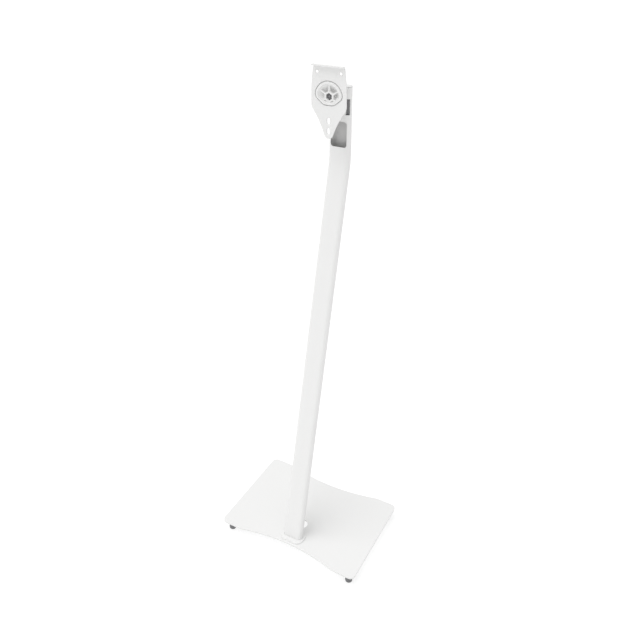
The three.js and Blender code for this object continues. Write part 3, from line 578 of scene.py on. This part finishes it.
def pole_cap():
    skirt = [(2.1, -11), (1.8, -10.6), (1.8, -2)]
    crown = [(0.25, -2), (0, -1.75), (0, -0.9), (0.25, -0.35), (0.8, -0.08), (1.6, 0)]
    loops = []
    for inset, z in skirt + crown:
        flat = oval(POLE["width"] - 2 * inset, POLE["depth"] - 2 * inset)
        loops.append([(u, UPPER_Y + v, CAP_TOP + z) for u, v in flat])
    return rings(loops)


piece("pole_plug", pole_cap(), "white_plastic", "stand", ["pole_cap"])


def foot_collar():
    high, under, snug = COLLAR["height"], 0.08, 0.12
    loops = []
    for inset, z in ((0, under), (0, 1.9), (0.25, 2.6), (0.8, 3.05), (1.5, high)):
        half_u, half_v = COLLAR["half_width"] - inset, COLLAR["half_depth"] - inset
        outline = rounded_box(-half_u, -half_v, half_u, half_v, COLLAR["corner"] - inset, 20)
        loops.append([(u, POLE["foot_y"] + v, z) for u, v in outline])
    count = len(loops[0])
    for grow, z in ((0.5, high), (snug, high - 0.3), (snug, under)):
        y, lean = pole_station(z)
        inner = oval(POLE["width"] + 2 * grow, POLE["depth"] + 2 * grow, steps=count // 2 - 1)
        loops.append([(u, y + v / math.cos(lean), z) for u, v in inner])
    return rings(loops, closed=True)


piece("collar", foot_collar(), "white_plastic", "stand", ["foot_collar"])


def neck_screw(drop):
    end = -NECK_SCREW_LENGTH
    profile = [(0, end), (1.8, end), (M5, end + 0.7), (M5, -2.4), (4.65, -0.25), (4.5, 0), (0, 0)]
    bm = combine("DIFFERENCE", turned(profile, 40), slab(hexagon(3), -1.9, 1, 0.03, steps=1))
    return at_pole_back(bm, drop)


for level, drop in NECK_SCREW_DROPS.items():
    piece(f"neck_screw_{level}_piece", neck_screw(drop), "zinc_steel", "stand", [f"neck_screw_{level}"])

# ---- Arm ----


def bolt_bore():
    """The cutter for the tilt bolt's hole."""
    return slab(circle(M6_BORE), -20, 20, SHARP, plane=YZ, steps=1)


def cheek_outline():
    lift = DECK.z - PIN.z
    bottom, top = NOTCH["bottom"] + CLEARANCE + lift, NOTCH["top"] - CLEARANCE + lift
    front, rear = POLE_FRONT + DECK.y - PIN.y, CHEEK["web_rear"]
    underside = quadratic((-2, bottom + 5), (-1.5, bottom), (4, bottom), 10)
    boss = arc(0, 0, CHEEK["boss"], 0, CHEEK["boss_end"], 40)
    return tidy([(rear, bottom), (rear, top), (front - 1, top)] + boss + underside)


def head_arm():
    outer, inner = CHEEK["outer"], CHEEK["inner"]
    bm = slab(cheek_outline(), -outer, outer, 0.5, plane=YZ)
    web_front = CHEEK["web_rear"] - (outer - inner)
    channel = rounded_box(-30, -70, web_front, 40, 1.0, 4)
    bm = combine("DIFFERENCE", bm, slab(channel, -inner, inner, 0.9, plane=YZ))
    screws = [slab_y(circle(M5_BORE, 0, drop, 32), 10, 22, SHARP, steps=1) for drop in ARM_SCREW_DROPS]
    return soften(combine("DIFFERENCE", bm, bolt_bore(), *screws), 0.25)


piece("arm", head_arm(), "white_paint", "stand", ["head_arm"], PIN)

# ---- Knuckle ----


def tilt_knuckle():
    low = -math.asin(FLANGE["flat"] / FLANGE["radius"])
    flange = arc(0, 0, FLANGE["radius"], low, math.pi - low, 64)
    bm = slab_y(flange, FLANGE["front"], FLANGE["rear"], 0.6)
    radius, root, inner, outer = EAR["radius"], FLANGE["rear"] - 1, EAR["inner"], EAR["outer"]
    ear = tidy(arc(0, 0, radius, -math.pi / 2, math.pi / 2, 32) + [(root, radius), (root, -radius)])
    for left, right in ((-outer, -inner), (inner, outer)):
        bm = combine("UNION", bm, slab(ear, left, right, 0.4, plane=YZ))
    bm = combine("DIFFERENCE", bm, bolt_bore(), slab_y(circle(M6_BORE), -20, -10, SHARP, steps=1))
    return soften(bm, 0.2)


piece("knuckle_piece", tilt_knuckle(), "white_plastic", "knuckle", ["tilt_knuckle"], PIN)

# ---- Hub ----


def hub_outline(inset, steps=60):
    eased = HUB_FLAT_SHARE * inset
    radius, flat, chamfer = HUB["radius"] - inset, HUB["flat"] - eased, HUB["chamfer"] - eased
    s, c = math.sin(HUB["angle"]), math.cos(HUB["angle"])
    turn = math.acos(chamfer / radius) - HUB["angle"]
    high = (radius * math.cos(turn), radius * math.sin(turn))
    low = ((chamfer - flat * s) / c, -flat)
    reach = HUB_CORNER * (1 - inset / HUB["radius"])
    start = turn + reach / radius
    on_arc = (radius * math.cos(start), radius * math.sin(start))
    right = quadratic((low[0] - reach, -flat), low, (low[0] + reach * s, reach * c - flat), 8)
    right += quadratic((high[0] - reach * s, high[1] - reach * c), high, on_arc, 8)
    left = [(-u, v) for u, v in reversed(right)]
    return right + arc(0, 0, radius, start, math.pi - start, steps)[1:-1] + left


def hub_loft(sections):
    """Skins hub outlines, each given as (inset, y)."""
    return rings([[(u, y, v) for u, v in hub_outline(inset)] for inset, y in sections])


def pocket_cutter():
    """The six pockets between the ribs, the hexagonal wall and the rim."""
    sides = [(DISH["inset"], HUB_FRONT - 1), (DISH["inset"], DISH["y"])]
    bm = hub_loft(sides + [(POCKET_FLOOR["inset"], POCKET_FLOOR["y"])])
    rib_pair = [(-RIB_HALF, -40), (RIB_HALF, -40), (RIB_HALF, 40), (-RIB_HALF, 40)]
    kept = [hexagon(HEX_WALL_FLATS)] + [turned_about(rib_pair, math.radians(60 * i)) for i in range(3)]
    walls = [slab_y(outline, HUB_FRONT - 4, HUB_REAR + 1, 0.01, steps=1) for outline in kept]
    return soften(combine("DIFFERENCE", bm, *walls), HUB_EDGE, 30, 3)


def hub():
    seat, r = MOUNT_BACK + CLEARANCE, RIM_SHOULDER
    turns = [math.pi / 2 * i / 6 for i in range(7)]
    shoulder = [(r * (1 - math.sin(t)), HUB_FRONT + r * (1 - math.cos(t))) for t in turns]
    flange = slab_y(hub_outline(HUB_FLANGE["inset"]), seat, HUB_FLANGE["rear"], 0.3)
    rear = slab_y(hub_outline(HUB_REAR_INSET), seat + 0.5, HUB_REAR, 0.3)
    bm = combine("UNION", hub_loft(shoulder + [(0, seat + 1)]), flange, rear)
    dish = hub_loft([(RIM_INSET, HUB_FRONT - 0.1), (DISH["inset"], DISH["y"])])
    recess = slab_y(hexagon(HEX_RECESS_FLATS), HUB_FRONT - 2, NUT_SEAT, 0.05, steps=1)
    bore = slab_y(circle(M6_BORE), HUB_FRONT, HUB_REAR + 2, SHARP, steps=1)
    return soften(combine("DIFFERENCE", bm, dish, recess, bore, pocket_cutter()), HUB_EDGE, 30, 3)


piece("hub_piece", hub(), "white_plastic", "head", ["hub"], PIN)


def nut(high):
    corner = NUT_FLATS / math.sqrt(3)
    narrow, wide, chamfer = corner - 1.1, corner + 0.1, 0.75
    cone = [(narrow, 0), (wide, chamfer), (wide, high - chamfer), (narrow, high)]
    cone = [(0, -1), (narrow, -1), *cone, (narrow, high + 1), (0, high + 1)]
    bm = combine("INTERSECT", slab(hexagon(NUT_FLATS), 0, high, 0.08, steps=1), turned(cone, 60))
    mouth, bore = 3.7, 3.25
    hole = [(mouth, 0), (bore, 0.5), (bore, high - 0.5), (mouth, high)]
    hole = [(0, -1), (mouth, -1), *hole, (mouth, high + 1), (0, high + 1)]
    return combine("DIFFERENCE", bm, turned(hole, 40))


def nut_for(node, body, direction):
    low, high = box_mm(node)
    middle, axis = (low + high) / 2, Vector(direction)
    thick = abs((high - low).dot(axis))
    bm = aimed(nut(thick), direction)
    piece(node + "_piece", bm, "dark_steel", body, [node], middle - axis * thick / 2)


nut_for("roll_nut", "head", (0, -1, 0))
nut_for("tilt_nut", "stand", (-1, 0, 0))

# ---- Mounting plate ----


def mount_outline():
    """The plate's outline, with its lip laid flat."""
    top, top_half, half = PLATE["top"], PLATE["top_half"], PLATE["half"]
    side = top**2 / (2 * (half - top_half))
    turn = math.asin(top / side)
    tip_radius, tip_v = PLATE["tip_radius"], PLATE["tip_v"]
    shoulder, shoulder_v = PLATE_SHOULDER["radius"], PLATE_SHOULDER["v"]
    shoulder_u = half - shoulder
    from_tip = (tip_radius * math.cos(TIP_TURN), tip_v - tip_radius * math.sin(TIP_TURN))
    to_shoulder = (shoulder_u + shoulder * math.cos(TAPER), shoulder_v - shoulder * math.sin(TAPER))
    developed = LIP["start"] + LIP_NEUTRAL * LIP["angle"] + LIP["length"]
    right = (
        arc(0, tip_v, tip_radius, -math.pi / 2, -TIP_TURN, 14)
        + quadratic(from_tip, TAPER_PULL, to_shoulder, 28)
        + arc(shoulder_u, shoulder_v, shoulder, -TAPER, 0, 10)
        + arc(half - side, 0, side, 0, turn, 16)
        + [(top_half, developed)]
    )
    return tidy(right + [(-u, v) for u, v in reversed(right)])


def bent(bm):
    """Turns the sheet's top forward round the lip's small bend."""
    developed = LIP_NEUTRAL * LIP["angle"]
    for i in range(9):
        level = LIP["start"] + developed * i / 8
        everything = list(bm.verts) + list(bm.edges) + list(bm.faces)
        bmesh.ops.bisect_plane(bm, geom=everything, plane_co=(0, 0, level), plane_no=(0, 0, 1))
    centre_y = MOUNT_FRONT - LIP["bend"]
    for vert in bm.verts:
        along = vert.co.z - LIP["start"]
        if along <= 1e-5:
            continue
        angle = min(along / LIP_NEUTRAL, LIP["angle"])
        rest = max(0, along - developed)
        reach = vert.co.y - centre_y
        vert.co.y = centre_y + reach * math.cos(angle) - rest * math.sin(angle)
        vert.co.z = LIP["start"] + reach * math.sin(angle) + rest * math.cos(angle)
    return bm


def slot(v, grow=0):
    return obround(SLOT["radius"] + grow, SLOT["length"] + 2 * grow, v)


def slot_sink(v):
    """The cutter for a slot's flared front rim."""
    return rings([[(u, MOUNT_FRONT + y, w) for u, w in slot(v, grow)] for grow, y in SLOT_FLARES])


def mount_plate():
    openings = [hub_outline(-OPENING_GAP)] + [slot(v) for v in SLOT["centres"]]
    for u in (-FIXING_HOLE["u"], FIXING_HOLE["u"]):
        openings.append(circle(FIXING_HOLE["radius"], u, FIXING_HOLE["v"]))
    bm = slab_y(mount_outline(), MOUNT_FRONT, MOUNT_BACK, 0.45, openings)
    return bent(combine("DIFFERENCE", bm, *[slot_sink(v) for v in SLOT["centres"]]))


piece("mount_sheet", mount_plate(), "white_paint", "head", ["mount_plate"], PIN)

# ---- CAD nodes that stay: each gets its finish and a small softened edge ----

for entry in RECORD["subparts"]:
    node = frame["nodes"].get(entry["node"])
    if node is None or node.hide_render:
        continue
    node.data.materials.clear()
    node.data.materials.append(LOOKS[entry["material_slot"]])
    bevel = node.modifiers.new("soft_edge", "BEVEL")
    bevel.width = 0.15 * MM
    bevel.segments = 2
    bevel.limit_method = "ANGLE"
    bevel.angle_limit = math.radians(40)

# ---- Floor, light and camera ----


def floor():
    bm = bmesh.new()
    bmesh.ops.create_grid(bm, x_segments=8, y_segments=8, size=30)
    obj = to_object(bm, "floor")
    made = bpy.data.materials.new("floor")
    made.use_nodes = True
    shader = made.node_tree.nodes["Principled BSDF"]
    shader.inputs["Base Color"].default_value = (0.4, 0.4, 0.4, 1)
    shader.inputs["Roughness"].default_value = 0.9
    shader.inputs["Specular IOR Level"].default_value = 0.1
    shader.inputs["Emission Color"].default_value = (1, 1, 1, 1)
    shader.inputs["Emission Strength"].default_value = 0.66
    obj.data.materials.append(made)


def soft_sun(name, aim, strength, spread):
    data = bpy.data.lights.new(name, "SUN")
    data.angle = math.radians(spread)
    data.energy = strength
    obj = bpy.data.objects.new(name, data)
    bpy.context.scene.collection.objects.link(obj)
    obj.rotation_euler = Vector(aim).to_track_quat("-Z", "Y").to_euler()


def sky(horizon, zenith):
    """A white studio that is brighter at eye level than overhead."""
    world = bpy.data.worlds.new("studio")
    bpy.context.scene.world = world
    world.use_nodes = True
    nodes, link = world.node_tree.nodes, world.node_tree.links.new
    place = nodes.new("ShaderNodeTexCoord")
    split = nodes.new("ShaderNodeSeparateXYZ")
    link(place.outputs["Generated"], split.inputs["Vector"])
    level = nodes.new("ShaderNodeMapRange")
    level.inputs["To Min"].default_value = horizon
    level.inputs["To Max"].default_value = zenith
    link(split.outputs["Z"], level.inputs["Value"])
    nodes["Background"].inputs["Color"].default_value = (1, 1, 1, 1)
    link(level.outputs["Result"], nodes["Background"].inputs["Strength"])


floor()
sky(horizon=0.65, zenith=0.93)
soft_sun("key", aim=(0.25, 0.33, -0.9), strength=1.12, spread=50)

bpy.context.scene.view_settings.view_transform = "Standard"
lens = bpy.data.cameras.new("camera")
lens.lens = 38.595
lens.sensor_width = 36
lens.shift_y = -0.05
camera = bpy.data.objects.new("camera", lens)
camera.location = (0.5921, -1.0436, 1.3202)
camera.rotation_euler = (math.radians(60.862), 0, math.radians(28.671))
bpy.context.scene.collection.objects.link(camera)
bpy.context.scene.camera = camera
